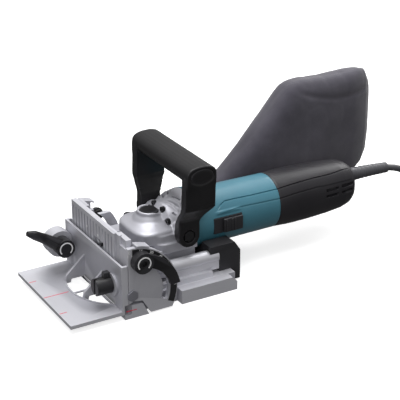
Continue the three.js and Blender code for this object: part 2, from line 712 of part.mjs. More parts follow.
// Electrical parts inside the motor.
const ringX = (x0, x1, inner, outer, segments = 16) =>
  latheX([[inner, x0], [outer, x0], [outer, x1], [inner, x1], [inner, x0]], 0, MOTOR_Z, segments);
add(unit, 'field_stator', ringX(80, 140, 21, 27.2), darkAluminium);

const armature = bodyGroup();
add(armature, 'armature_shaft', cylX(5.5, 200, 0, MOTOR_Z, 4), steel);
add(armature, 'armature_core', ringX(84, 136, 4.3, 20), copper);
add(armature, 'commutator', ringX(158, 176, 4.3, 12), copper);
add(armature, 'cooling_fan', ringX(56.5, 64, 4.3, 26), blackPlastic);
add(armature, 'bevel_pinion', latheX(
  [[4.3, 9], [4.5, 9], [6.8, 13.4], [7.6, 17], [4.3, 17], [4.3, 9]], 0, MOTOR_Z, 16,
), steel);

// D-handle over the gear housing: an oval bar on two legs, which bend inwards to bosses on the housing.
const BOSS_R = 12.8;
const BAR = { x: 41.2, z: 140.6, halfX: 18, halfZ: 10.9, power: 2.5 };
// Points of the bar's oval section, from one angle to another, in degrees from +X.
const barArc = (from, to, count) => {
  const points = [];
  for (let i = 0; i <= count; i += 1) {
    const angle = THREE.MathUtils.degToRad(from + ((to - from) * i) / count);
    const c = Math.cos(angle);
    const s = Math.sin(angle);
    points.push([
      BAR.x + Math.sign(c) * Math.abs(c) ** (2 / BAR.power) * BAR.halfX,
      BAR.z + Math.sign(s) * Math.abs(s) ** (2 / BAR.power) * BAR.halfZ,
    ]);
  }
  return points;
};
const legOutline = () => {
  const points = barArc(0, 180, 14);
  for (let i = 0; i <= 10; i += 1) {
    const angle = Math.PI + (i / 10) * Math.PI;
    points.push([HANDLE_X + BOSS_R * Math.cos(angle), HANDLE_Z + BOSS_R * Math.sin(angle)]);
  }
  return polygon([...points, [46.4, 83], [BAR.x + BAR.halfX - 0.8, 101]]);
};
const legPath = (side) => {
  const points = [
    [63, 155], [63, 107], [61.3, 101.5], [51.6, 89], [49.6, 84.5], [49.6, 50],
    [38.4, 50], [38.4, 80], [40, 85], [49.4, 97], [51, 102.5], [51, 155],
  ].map(([y, z]) => [side * y, z]);
  return polygon(side > 0 ? points : points.reverse());
};
const handleLeg = (side) => alongY(legOutline(), ...(side > 0 ? [38, 64] : [-64, -38]))
  .intersect(alongX(legPath(side), 10, 66));
add(unit, 'handle', cut(
  join(alongY(polygon(barArc(0, 345, 23)), -62, 62), handleLeg(-1), handleLeg(1)),
  ...sides.flatMap(([, side]) => {
    const span = (from, to) => (side > 0 ? [from, to] : [-to, -from]);
    return [
      cylY(...span(38, 47), HANDLE_X, HANDLE_Z, 4.4),
      cylY(...span(46.4, 50), HANDLE_X, HANDLE_Z, 7.4, 24),
    ];
  }),
), blackPlastic);
for (const [name, side] of sides) {
  const span = (from, to) => (side > 0 ? [from, to] : [-to, -from]);
  add(unit, `handle_bolt_${name}`, join(
    cylY(...span(38.5, 47), HANDLE_X, HANDLE_Z, 4, 20),
    cylY(...span(46.8, 49.2), HANDLE_X, HANDLE_Z, 6.4, 6),
  ), blackSteel);
  const capShape = new THREE.Shape();
  capShape.absellipse(41.8, 139.8, 13.8, 8.4, 0, 2 * Math.PI, false, 0.12);
  add(unit, `handle_cap_${name}`, alongY(capShape, ...span(63.3, 64.6), 12), blackPlastic);
}

add(unit, 'switch_base', box(74.4, 110.6, -32.2, -29.9, 52.4, 70.6), blackPlastic);
const power = bodyGroup();
add(power, 'power_switch', join(
  box(85.4, 109.6, -36, -32.5, 53.4, 69.6),
  box(95, 98, -37, -32.5, 54, 69),
), blackPlastic);
const button = bodyGroup();
add(button, 'lock_button', join(
  cylZ(56, 65, BUTTON.x, BUTTON.y, 4, 20),
  cylZ(64, 66.8, BUTTON.x, BUTTON.y, 5.4, 20),
), blackPlastic);

// Screws that hold the gear housing to the motor.
HOUSING_SCREWS.forEach(([y, z], k) => {
  add(unit, `housing_screw_${k + 1}`, cut(
    cylX(20.4, 24.3, y, z, 3.2, 12),
    cylX(18, 22.4, y, z, 1.5, 6),
  ), blackSteel);
});

// ---------- spindle with its gear and blade ----------
const spindle = bodyGroup();
add(spindle, 'spindle', join(cylZ(15, 53, 0, 0, 6), cylZ(5.5, 15.2, 0, 0, 4.7)), steel);
add(spindle, 'bevel_gear', latheZ(
  [[6.3, 47.5], [11.6, 47.5], [11.6, 51.3], [9.4, 52.3], [6.3, 51.1], [6.3, 47.5]], 0, 0, 16,
), steel);
const ringZ = (z0, z1, inner, outer, segments = 16) =>
  latheZ([[inner, z0], [outer, z0], [outer, z1], [inner, z1], [inner, z0]], 0, 0, segments);
add(spindle, 'blade_flange', ringZ(11.6, 14.7, 5, 11), steel);
add(spindle, 'lock_nut', cut(cylZ(5.4, 8.4, 0, 0, 11, 6), cylZ(5, 9, 0, 0, 5, 16)), blackSteel);
const toothShape = (k) => {
  const angle = (k / 6) * 2 * Math.PI;
  const at = (radius, offset) => [radius * Math.cos(angle + offset), radius * Math.sin(angle + offset)];
  return polygon([at(43, -0.1), at(49.6, -0.06), at(50, 0.05), at(43, 0.1)]);
};
add(spindle, 'blade', join(
  ringZ(8.7, 11.3, 5, 45.5, 36),
  ...[0, 1, 2, 3, 4, 5].map((k) => alongZ(toothShape(k), 8, 12)),
), steel);

// ---------- cord: guard, lead, coil and plug ----------
add(unit, 'cord_guard', loft(ringsAlong(
  [[276, 0, 68.4], [306, 0, 67], [335, 0, 65]],
  [7.6, 7.4, 7.1, 6.8, 6.4, 6, 5.6],
  20,
)), rubber);
const CORD_R = 4;
const cordRoute = [
  [335.8, 0, 64.9], [348, -0.5, 62.8], [362, -1.5, 57.4], [376, -3, 46], [387, -4.5, 31],
  [398, -6, 17], [412, -7.2, 8], [426, -8, 4.9], [448, -8, 4.2],
];
const COIL = { x: 478, y: 44, mean: 44, half: 12.2 };
const tube = (points, radius, steps, radial = 10) => {
  const section = new THREE.Shape();
  for (let i = 0; i < radial; i += 1) {
    const angle = (i / radial) * 2 * Math.PI;
    const point = [radius * Math.cos(angle), radius * Math.sin(angle)];
    if (i === 0) section.moveTo(...point);
    else section.lineTo(...point);
  }
  section.closePath();
  const path = new THREE.CatmullRomCurve3(points.map((p) => new THREE.Vector3(...p)));
  return solid(new THREE.ExtrudeGeometry(section, {
    steps, bevelEnabled: false, extrudePath: path,
  }));
};
add(unit, 'cord_lead', tube(cordRoute, CORD_R, 24), rubber);
add(unit, 'cord_coil', latheZ([
  [COIL.mean - COIL.half, 0.2], [COIL.mean + COIL.half, 0.2], [COIL.mean + COIL.half, 24.2],
  [COIL.mean - COIL.half, 24.2], [COIL.mean - COIL.half, 0.2],
], COIL.x, COIL.y, 32), rubber);
add(unit, 'cord_tail', tube([[532.4, 71.5, 4.6], [532.4, 78, 6.5], [532.2, 85.6, 9.6]], CORD_R, 5), rubber);
add(unit, 'plug', join(
  box(520, 544.4, 87.8, 121, 0.2, 19.6),
  cylY(120, 140, 525.4, 10, 2.4, 16),
  cylY(120, 140, 539, 10, 2.4, 16),
), blackPlastic);

export default joiner;
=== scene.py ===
"""Looks of the plate joiner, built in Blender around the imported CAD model.

Metres, +Z up, -X the cutting direction.
"""
import json
import math

import bmesh
import bpy
from mathutils import Matrix, Vector, noise

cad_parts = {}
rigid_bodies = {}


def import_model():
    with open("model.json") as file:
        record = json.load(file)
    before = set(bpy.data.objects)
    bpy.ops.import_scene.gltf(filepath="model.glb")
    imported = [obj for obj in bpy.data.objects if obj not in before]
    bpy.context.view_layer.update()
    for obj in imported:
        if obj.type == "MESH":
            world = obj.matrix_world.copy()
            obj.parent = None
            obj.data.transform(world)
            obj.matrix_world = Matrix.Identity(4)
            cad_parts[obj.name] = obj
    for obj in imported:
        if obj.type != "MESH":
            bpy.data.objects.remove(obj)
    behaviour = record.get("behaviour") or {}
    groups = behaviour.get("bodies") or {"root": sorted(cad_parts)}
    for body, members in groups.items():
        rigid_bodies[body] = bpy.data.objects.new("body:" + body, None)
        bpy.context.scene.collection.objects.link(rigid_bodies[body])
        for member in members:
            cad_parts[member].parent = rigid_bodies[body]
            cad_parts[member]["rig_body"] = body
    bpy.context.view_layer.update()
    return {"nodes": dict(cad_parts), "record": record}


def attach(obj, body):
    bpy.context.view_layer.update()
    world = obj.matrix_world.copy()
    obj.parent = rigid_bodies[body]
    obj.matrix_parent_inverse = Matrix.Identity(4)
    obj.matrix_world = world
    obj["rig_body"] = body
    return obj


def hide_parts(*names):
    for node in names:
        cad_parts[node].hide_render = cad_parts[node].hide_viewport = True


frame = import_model()
MM = 0.001
nodes = frame["nodes"]
scene = bpy.context.scene

# ---------- camera ----------
AZIMUTH = math.radians(-30.2)
ELEVATION = math.radians(24.2)
camera = bpy.data.objects.new("camera", bpy.data.cameras.new("camera"))
camera.data.sensor_width = 36
camera.data.lens = 112.95
camera.data.clip_end = 20
camera.location = (-0.56505, -1.09971, 0.65345)
back = Vector((
    math.sin(AZIMUTH) * math.cos(ELEVATION),
    -math.cos(AZIMUTH) * math.cos(ELEVATION),
    math.sin(ELEVATION),
))
camera.rotation_euler = (-back).to_track_quat("-Z", "Y").to_euler()
scene.collection.objects.link(camera)
scene.camera = camera
scene.view_settings.view_transform = "Standard"


# ---------- shape helpers: curves, meshes, lofts, turned solids, bevels, cuts and copies ---
def spline_through(points, step):
    """Points of a Catmull-Rom curve through the given ones, about a step apart, in millimetres."""
    ends = [2 * points[0] - points[1], *points, 2 * points[-1] - points[-2]]
    found = []
    for a, b, c, d in zip(ends, ends[1:], ends[2:], ends[3:]):
        count = max(1, round((c - b).length / step))
        for k in range(count):
            t = k / count
            found.append(0.5 * (
                2 * b + (c - a) * t + (2 * a - 5 * b + 4 * c - d) * t * t
                + (3 * b - a - 3 * c + d) * t * t * t
            ))
    return [*found, points[-1]]



def add_mesh(name, vertices, faces):
    """New mesh object from points in millimetres."""
    mesh = bpy.data.meshes.new(name)
    mesh.from_pydata([tuple(Vector(v) * MM) for v in vertices], [], faces)
    made = bpy.data.objects.new(name, mesh)
    scene.collection.objects.link(made)
    return made


def loft(name, rings, caps=True):
    """Closed skin through rings of equal length, with its normals turned outwards."""
    size = len(rings[0])
    vertices = [point for ring in rings for point in ring]
    faces = []
    for row in range(len(rings) - 1):
        for k in range(size):
            after = (k + 1) % size
            low, high = row * size, (row + 1) * size
            faces.append((low + k, low + after, high + after, high + k))
    if caps:
        faces.append(tuple(reversed(range(size))))
        faces.append(tuple((len(rings) - 1) * size + k for k in range(size)))
    else:
        last = (len(rings) - 1) * size
        for k in range(size):
            after = (k + 1) % size
            faces.append((last + k, last + after, after, k))
    made = add_mesh(name, vertices, faces)
    turn_outwards(made)
    return made


def turn_outwards(made):
    work = bmesh.new()
    work.from_mesh(made.data)
    bmesh.ops.recalc_face_normals(work, faces=work.faces)
    work.to_mesh(made.data)
    work.free()


def circle(centre, across, up, radius, count=32):
    return [
        Vector(centre) + radius * (math.cos(a) * Vector(across) + math.sin(a) * Vector(up))
        for a in (2 * math.pi * k / count for k in range(count))
    ]


def turned(name, profile, origin, axis, count=40):
    """Solid turned about an axis: profile is a list of (radius, height along the axis)."""
    axis = Vector(axis).normalized()
    across = axis.orthogonal().normalized()
    up = axis.cross(across)
    rings = [
        circle(Vector(origin) + axis * height, across, up, max(radius, 0.05), count)
        for radius, height in profile
    ]
    return loft(name, rings)


def tube_through(name, points, radii, count=20):
    """Round tube through the points, with a radius at each."""
    rings = []
    for k, point in enumerate(points):
        along = (points[min(k + 1, len(points) - 1)] - points[max(k - 1, 0)]).normalized()
        across = along.cross(Vector((0, 1, 0)) if abs(along.y) < 0.9 else Vector((0, 0, 1))).normalized()
        rings.append(circle(point, across, along.cross(across), radii[k], count))
    return loft(name, rings)


def prism(name, outline, axis, low, high):
    """Outline in the plane across an axis, given in that axis's (next, after) order, made solid."""
    place = {
        "x": lambda a, b, c: (c, a, b),
        "y": lambda a, b, c: (a, c, b),
        "z": lambda a, b, c: (a, b, c),
    }[axis]
    return loft(name, [[Vector(place(a, b, level)) for a, b in outline] for level in (low, high)])


def rounded_box(name, low, high, radius, segments=3):
    """Box between two corners, its edges rounded."""
    (x0, y0, z0), (x1, y1, z1) = low, high
    made = prism(name, [(x0, y0), (x1, y0), (x1, y1), (x0, y1)], "z", z0, z1)
    return bevelled(made, radius, segments)


def applied(made):
    """The object with its modifiers worked into its mesh."""
    bpy.context.view_layer.update()
    evaluated = made.evaluated_get(bpy.context.evaluated_depsgraph_get())
    mesh = bpy.data.meshes.new_from_object(evaluated)
    made.modifiers.clear()
    made.data = mesh
    return made


def bevelled(made, width, segments=2, angle=28):
    bevel = made.modifiers.new("edges", "BEVEL")
    bevel.width = width * MM
    bevel.segments = segments
    bevel.limit_method = "ANGLE"
    bevel.angle_limit = math.radians(angle)
    return applied(made)


def softened(made, voxel, rounds, keep=0.5):
    """Remeshed and smoothed as a casting with rounded edges, then thinned to a share of its faces."""
    remesh = made.modifiers.new("remesh", "REMESH")
    remesh.mode = "VOXEL"
    remesh.voxel_size = voxel * MM
    relax = made.modifiers.new("relax", "SMOOTH")
    relax.iterations = rounds
    if keep < 1:
        thin = made.modifiers.new("thin", "DECIMATE")
        thin.ratio = keep
    return applied(made)


def carved(made, tool):
    """The object with a tool's volume taken away; the tool is removed."""
    cut = made.modifiers.new("cut", "BOOLEAN")
    cut.operation = "DIFFERENCE"
    cut.solver = "EXACT"
    cut.object = tool
    applied(made)
    bpy.data.objects.remove(tool)
    return made


def merged(name, parts):
    """One object of several closed bodies."""
    work = bmesh.new()
    for part in parts:
        work.from_mesh(part.data)
        bpy.data.objects.remove(part)
    mesh = bpy.data.meshes.new(name)
    work.to_mesh(mesh)
    work.free()
    made = bpy.data.objects.new(name, mesh)
    scene.collection.objects.link(made)
    return made


def copy_of(node_name, name):
    """The CAD node's mesh in a new object, its flat areas joined into single faces."""
    mesh = nodes[node_name].data.copy()
    made = bpy.data.objects.new(name, mesh)
    scene.collection.objects.link(made)
    work = bmesh.new()
    work.from_mesh(mesh)
    bmesh.ops.remove_doubles(work, verts=work.verts, dist=0.01 * MM)
    bmesh.ops.dissolve_limit(
        work, angle_limit=math.radians(1), verts=work.verts, edges=work.edges, use_dissolve_boundaries=False,
    )
    work.to_mesh(mesh)
    work.free()
    return made


def settle(made, material, body, replaced=(), smooth_angle=38):
    """Material, shading, body, slot and the nodes it stands for."""
    made.data.materials.clear()
    made.data.materials.append(MATERIALS[material])
    for polygon in made.data.polygons:
        polygon.material_index = 0
    made.data.shade_smooth()
    made.data.set_sharp_from_angle(angle=math.radians(smooth_angle))
    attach(made, body)
    if replaced:
        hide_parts(*replaced)
    return made


def weighted(made):
    normals = made.modifiers.new("normals", "WEIGHTED_NORMAL")
    normals.keep_sharp = True
    return made


def refined(node_name, width=0.5, segments=2, angle=28, material=None, smooth_angle=38):
    """A CAD node with rounded edges and even shading, standing for that node."""
    slot_name = slot_of[node_name]
    made = bevelled(copy_of(node_name, f"{node_name}_skin"), width, segments, angle)
    settle(made, material or slot_name, nodes[node_name]["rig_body"], [node_name], smooth_angle)
    return weighted(made)


def spline_through(points, step):
    """Points of a Catmull-Rom curve through the given ones, about a step apart."""
    ends = [2 * points[0] - points[1], *points, 2 * points[-1] - points[-2]]
    found = []
    for a, b, c, d in zip(ends, ends[1:], ends[2:], ends[3:]):
        count = max(1, round((c - b).length / step))
        for k in range(count):
            t = k / count
            found.append(0.5 * (
                2 * b + (c - a) * t + (2 * a - 5 * b + 4 * c - d) * t * t
                + (3 * b - a - 3 * c + d) * t * t * t
            ))
    return [*found, points[-1]]


def signed_power(value, power):
    """The value's size raised to a power, with its sign kept."""
    return math.copysign(abs(value) ** power, value)


def between(table, x):
    """Values of a table of rows (x, value, ...) at x, joined by straight lines."""
    for low, high in zip(table, table[1:]):
        if x <= high[0]:
            t = min(max((x - low[0]) / (high[0] - low[0]), 0), 1)
            return [a + (b - a) * t for a, b in zip(low[1:], high[1:])]
    return list(table[-1][1:])


# ---------- materials ----------
def new_material(name):
    """A node material, with its node tree and its Principled shader."""
    made = bpy.data.materials.new(name)
    made.use_nodes = True
    tree = made.node_tree
    shader = tree.nodes["Principled BSDF"]
    return made, tree, shader


def add_node(tree, kind, **inputs):
    node = tree.nodes.new(kind)
    for key, value in inputs.items():
        node.inputs[key.replace("_", " ")].default_value = value
    return node


def ramp_between(tree, factor, low, high, start=0.35, end=0.65):
    """Colour ramp from low to high, driven by a factor socket."""
    ramp = tree.nodes.new("ShaderNodeValToRGB")
    ramp.color_ramp.elements[0].position = start
    ramp.color_ramp.elements[0].color = (*low, 1)
    ramp.color_ramp.elements[1].position = end
    ramp.color_ramp.elements[1].color = (*high, 1)
    tree.links.new(factor, ramp.inputs["Fac"])
    return ramp.outputs["Color"]


def textured(name, low, high, roughness, metallic=0.0, grain=900.0, grain_depth=0.00004,
             cloud=14.0, rough_spread=0.08, wear=None, coat=0.0, sheen=0.0, specular=0.5):
    """Moulded or cast surface: cloudy colour, grain bump, uneven roughness and optional worn edges."""
    made, tree, shader = new_material(name)
    shader.inputs["Metallic"].default_value = metallic
    shader.inputs["Specular IOR Level"].default_value = specular
    shader.inputs["Coat Weight"].default_value = coat
    shader.inputs["Sheen Weight"].default_value = sheen
    place = tree.nodes.new("ShaderNodeTexCoord").outputs["Object"]
    clouds = add_node(tree, "ShaderNodeTexNoise", Scale=cloud, Detail=4.0, Roughness=0.55)
    tree.links.new(place, clouds.inputs["Vector"])
    colour = ramp_between(tree, clouds.outputs["Fac"], low, high)
    if wear:
        geometry = tree.nodes.new("ShaderNodeNewGeometry")
        edge = add_node(tree, "ShaderNodeMapRange", From_Min=0.515, From_Max=0.56, To_Min=0.0, To_Max=0.55)
        tree.links.new(geometry.outputs["Pointiness"], edge.inputs["Value"])
        mix = tree.nodes.new("ShaderNodeMix")
        mix.data_type = "RGBA"
        mix.inputs["B"].default_value = (*wear, 1)
        tree.links.new(edge.outputs["Result"], mix.inputs["Factor"])
        tree.links.new(colour, mix.inputs["A"])
        colour = mix.outputs["Result"]
    tree.links.new(colour, shader.inputs["Base Color"])
    spread = add_node(
        tree, "ShaderNodeMapRange",
        To_Min=roughness - rough_spread, To_Max=roughness + rough_spread,
    )
    tree.links.new(clouds.outputs["Fac"], spread.inputs["Value"])
    tree.links.new(spread.outputs["Result"], shader.inputs["Roughness"])
    fine = add_node(tree, "ShaderNodeTexNoise", Scale=grain, Detail=3.0, Roughness=0.6)
    tree.links.new(place, fine.inputs["Vector"])
    bump = add_node(tree, "ShaderNodeBump", Strength=0.6, Distance=grain_depth)
    tree.links.new(fine.outputs["Fac"], bump.inputs["Height"])
    tree.links.new(bump.outputs["Normal"], shader.inputs["Normal"])
    return made


def woven(name, low, high, pitch=0.0011):
    """Plain-weave cloth: two crossing thread waves, soft sheen and faint blotches."""
    made, tree, shader = new_material(name)
    shader.inputs["Sheen Weight"].default_value = 0.35
    shader.inputs["Sheen Roughness"].default_value = 0.5
    shader.inputs["Specular IOR Level"].default_value = 0.2
    shader.inputs["Roughness"].default_value = 0.85
    place = tree.nodes.new("ShaderNodeTexCoord").outputs["Object"]
    waves = []
    for direction in ("X", "Z"):
        wave = add_node(tree, "ShaderNodeTexWave", Scale=1 / pitch / 3.2, Distortion=0.6, Detail=1.0)
        wave.bands_direction = direction
        tree.links.new(place, wave.inputs["Vector"])
        waves.append(wave)
    weave = tree.nodes.new("ShaderNodeMath")
    weave.operation = "MULTIPLY"
    tree.links.new(waves[0].outputs["Fac"], weave.inputs[0])
    tree.links.new(waves[1].outputs["Fac"], weave.inputs[1])
    clouds = add_node(tree, "ShaderNodeTexNoise", Scale=26.0, Detail=5.0, Roughness=0.6)
    tree.links.new(place, clouds.inputs["Vector"])
    tree.links.new(ramp_between(tree, clouds.outputs["Fac"], low, high), shader.inputs["Base Color"])
    bump = add_node(tree, "ShaderNodeBump", Strength=0.5, Distance=0.0002)
    tree.links.new(weave.outputs["Value"], bump.inputs["Height"])
    tree.links.new(bump.outputs["Normal"], shader.inputs["Normal"])
    return made


MATERIALS = {
    "cast_aluminium": textured(
        "cast_aluminium", (0.40, 0.40, 0.44), (0.47, 0.47, 0.51), 0.42, metallic=0.45,
        grain=1300, grain_depth=0.00005, wear=(0.70, 0.70, 0.74),
    ),
    "dark_aluminium": textured(
        "dark_aluminium", (0.26, 0.26, 0.30), (0.34, 0.34, 0.38), 0.4, metallic=0.7, grain=1300,
    ),
    "black_plastic": textured(
        "black_plastic", (0.008, 0.008, 0.009), (0.014, 0.013, 0.014), 0.38,
        grain=1700, grain_depth=0.00006, wear=(0.04, 0.04, 0.045), specular=0.28,
    ),
    "housing_plastic": textured(
        "housing_plastic", (0.013, 0.012, 0.015), (0.019, 0.018, 0.021), 0.44,
        grain=1700, grain_depth=0.00006, specular=0.35,
    ),
    "teal_plastic": textured(
        "teal_plastic", (0.042, 0.155, 0.21), (0.052, 0.18, 0.235), 0.38,
        grain=1500, grain_depth=0.00004, coat=0.15,
    ),
    "steel": textured("steel", (0.52, 0.53, 0.55), (0.62, 0.63, 0.65), 0.28, metallic=1.0, grain=2200,
                      grain_depth=0.00002),
    "black_steel": textured("black_steel", (0.012, 0.012, 0.013), (0.022, 0.022, 0.024), 0.35,
                            metallic=0.4, grain=1500),
    "copper": textured("copper", (0.42, 0.18, 0.08), (0.5, 0.24, 0.11), 0.35, metallic=0.9, grain=1200),
    "scale_black": textured("scale_black", (0.010, 0.010, 0.011), (0.016, 0.016, 0.017), 0.4, grain=1500),
    "bag_fabric": woven("bag_fabric", (0.045, 0.042, 0.055), (0.066, 0.062, 0.079)),
    "cord_rubber": textured("cord_rubber", (0.045, 0.045, 0.052), (0.065, 0.065, 0.072), 0.5, grain=1400),
    "white_paint": textured("white_paint", (0.75, 0.75, 0.76), (0.82, 0.82, 0.82), 0.5, grain=1500),
    "red_paint": textured("red_paint", (0.60, 0.03, 0.07), (0.68, 0.04, 0.09), 0.5, grain=1500),
}
slot_of = {part["node"]: part["material_slot"] for part in frame["record"]["subparts"]}
for node_name, node_object in nodes.items():
    for material_slot in node_object.material_slots:
        material_slot.material = MATERIALS[slot_of[node_name]]


# ---------- cord: free lead, stored coil, tail and plug ----------
CORD_R = 4.0
COIL = Vector((478, 44, 0))
# (turn, radius, height): down the inside of the first layer, out over the second, back in over the third
WINDING = [
    (0, 52, 4.4), (2.0, 36, 4.4), (2.25, 34, 8.4), (2.5, 34, 12.4), (4.75, 52, 12.4),
    (5.0, 54.3, 16.4), (5.25, 54.6, 20.4), (6.75, 42.6, 20.4), (7.0, 40.6, 28.4),
]
POINTS_PER_TURN = 24
LEAD = [
    (335.2, 0, 66.4), (348, -0.5, 63.4), (362, -1.5, 57.4), (376, -3, 46), (387, -4.5, 31),
    (398, -6, 17), (412, -7.2, 8), (426, -8, 4.9), (448, -8, 4.4), (462, -8, 4.4),
]
TAIL = [
    (497, 9, 28.8), (512, 16, 28.9), (526, 24, 28.4), (536, 34, 26), (541, 46, 19.4),
    (541.4, 58, 11), (538, 67, 6), (534, 74, 5), (532.4, 80, 6.8), (532.2, 85.6, 9.6),
]
coil_points = []
for k in range(7 * POINTS_PER_TURN + 1):
    turn = k / POINTS_PER_TURN
    radius, height = between(WINDING, turn)
    angle = 2 * math.pi * turn - math.pi / 2
    coil_points.append(COIL + Vector((radius * math.cos(angle), radius * math.sin(angle), height)))
route = [*spline_through([Vector(p) for p in LEAD], 9), *coil_points]
route += spline_through([coil_points[-1], *(Vector(p) for p in TAIL)], 7)[1:]
cord_line = bpy.data.curves.new("cord", "CURVE")
cord_line.dimensions = "3D"
cord_line.bevel_depth = CORD_R * MM
cord_line.bevel_resolution = 5
cord_line.use_fill_caps = True
cord_line.resolution_u = 1
spline = cord_line.splines.new("POLY")
spline.points.add(len(route) - 1)
for spline_point, place in zip(spline.points, route):
    spline_point.co = (*(place * MM), 1)
spline.use_smooth = True
cord_line.materials.append(MATERIALS["cord_rubber"])
cord_piece = bpy.data.objects.new("cord", cord_line)
scene.collection.objects.link(cord_piece)
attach(cord_piece, "motor_unit")
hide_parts("cord_lead", "cord_coil", "cord_tail")

plug = refined("plug", 1.6, 3, material="cord_rubber")
plug.name = "plug_body"
guard_points = spline_through([Vector((276.4, 0, 68.2)), Vector((306, 0, 67.8)), Vector((335, 0, 66.4))], 1.0)
guard_radii = []
for k in range(len(guard_points)):
    share = k / (len(guard_points) - 1)
    ripple = 0.45 if 0.12 < share < 0.95 and k % 6 in (0, 1) else 0
    guard_radii.append(8.4 - 1.9 * share ** 0.8 - ripple)
settle(
    tube_through("cord_guard_skin", guard_points, guard_radii), "cord_rubber", "motor_unit",
    ["cord_guard"], 60,
)


# ---------- motor housing and rear housing: one turned skin each, with the parting seams ----------
AXIS_Z = 62.5
MOTOR_FRONT = 53.8
MOTOR_REAR = 162.7
REAR_FRONT = 163.0
REAR_END = 275.5
# (x, axis height, half width, half height) of the motor's outside
MOTOR_SECTIONS = [
    (MOTOR_FRONT, 62.3, 32.6, 32.8), (55, 62.3, 32.8, 33.0), (60, 62.3, 32.5, 32.7), (163, 62.2, 31.4, 31.6),
    (180, 62.1, 31.4, 31.6), (210, 61.9, 31.0, 31.2), (237, 61.8, 29.8, 30.0), (256, 61.9, 28.4, 28.4),
    (267, 62.3, 26.0, 25.8), (272.6, 62.9, 22.6, 22.4), (REAR_END, 63.3, 18.0, 17.8),
]
# Angles of the two seams from straight up, along x
UPPER_SEAM = [
    (80, 62), (83, 56), (86, 51), (93, 45), (108, 45), (126, 46), (163, 46), (210, 41), (237, 40), (261, 33),
    (275, 32),
]
LOWER_SEAM = [(80, 67), (104, 64), (163, 67), (190, 66), (220, 64), (275, 64)]
VENT_ROWS = [(227, 244, 70), (250, 267, 70), (227, 244, 62.5), (250, 267, 62.5)]


def smooth_step(value, low, high):
    t = min(max((value - low) / (high - low), 0), 1)
    return t * t * (3 - 2 * t)


def crest(x, degrees):
    """Height of the raised crown of the neck, which runs on into the front of the motor housing."""
    along = smooth_step(x, 25, 42) * (1 - smooth_step(x, 54, 72))
    return 4.6 * along * (1 - smooth_step(abs(degrees), 38, 76))


def housing_angles(x):
    """Angles of the rows at x, from 0 to 180: close together along the seams, which they follow."""
    upper, lower = between(UPPER_SEAM, x)[0], between(LOWER_SEAM, x)[0]
    fine = (-2.4, -1.6, -1.1, -0.7, -0.35, 0, 0.35, 0.7, 1.1, 1.6, 2.4)
    stops = [0, *(upper + d for d in fine), *(lower + d for d in fine), 180]
    rows = []
    for low, high, count in (
        (0, stops[1], 26), (upper + 2.4, lower - 2.4, 8), (lower + 2.4, 180, 64),
    ):
        rows += [low + (high - low) * k / count for k in range(count + 1)]
    rows += [upper + d for d in fine[1:-1]] + [lower + d for d in fine[1:-1]]
    return sorted(rows), upper, lower


def housing_point(x, degrees, side, upper, lower, inset=0.0):
    height, half_y, half_z = between(MOTOR_SECTIONS, x)
    power = 2 + 0.3 * smooth_step(x, 160, 190)
    c, s = math.cos(math.radians(degrees)), math.sin(math.radians(degrees))
    reach = Vector((
        0,
        -side * (half_y - inset) * signed_power(s, 2 / power),
        (half_z - inset) * signed_power(c, 2 / power),
    ))
    place = Vector((x, 0, height)) + reach
    if inset:
        return place
    depth = 0.0
    along = smooth_step(x, 81, 87) * (1 - smooth_step(x, 262, 269))
    away = abs(degrees - upper)
    depth += 1.1 * along * (1 - smooth_step(away, 0.35, 1.6))
    later = smooth_step(x, 100, 108) * (1 - smooth_step(x, 212, 224))
    below = degrees - lower
    depth += 0.55 * later * (1 - smooth_step(abs(below), 0.3, 2.0))
    # the band between the seams stands a little proud
    band = smooth_step(degrees, upper, upper + 2) * (1 - smooth_step(degrees, lower - 1, lower + 2))
    depth -= 0.5 * along * band
    # raised lip over the switch, and the parting step where the rear housing meets the motor
    lip = (1 - smooth_step(abs(x - 94), 12, 18)) * (1 - smooth_step(abs(degrees - 65.5), 1.5, 4.5))
    depth -= 0.9 * lip
    depth += 0.7 * (1 - smooth_step(abs(x - 162.85), 0.4, 1.3))
    depth -= crest(x, degrees)
    for start, end, level in VENT_ROWS:
        if start - 1.2 < x < end + 1.2 and degrees > 45:
            outside = max(start - x, x - end, abs(place.z - level) - 1.3)
            depth += 3.2 * (1 - smooth_step(outside, -0.5, 0.5))
    return place - reach.normalized() * depth


def housing_skin(name, x_low, x_high, step, fine_from, fine_step, end_inset):
    xs = []
    x = x_low
    while x < x_high - 0.01:
        xs.append(x)
        x += fine_step if x >= fine_from else step
    xs.append(x_high)
    rings = []
    for x in xs:
        rows, upper, lower = housing_angles(x)
        half = [(degrees, 1) for degrees in rows] + [(degrees, -1) for degrees in reversed(rows[1:-1])]
        rings.append([housing_point(x, degrees, side, upper, lower) for degrees, side in half])
    inner = []
    for k, x in enumerate((x_high - end_inset, x_low + 0.5 * (x_high - x_low), x_low)):
        rows, upper, lower = housing_angles(x)
        half = [(degrees, 1) for degrees in rows] + [(degrees, -1) for degrees in reversed(rows[1:-1])]
        inset = 4.6 if k < 2 else 4.4
        inner.append([housing_point(x, degrees, side, upper, lower, inset) for degrees, side in half])
    if end_inset:
        return loft(name, rings)
    return loft(name, [*rings, *inner], caps=False)


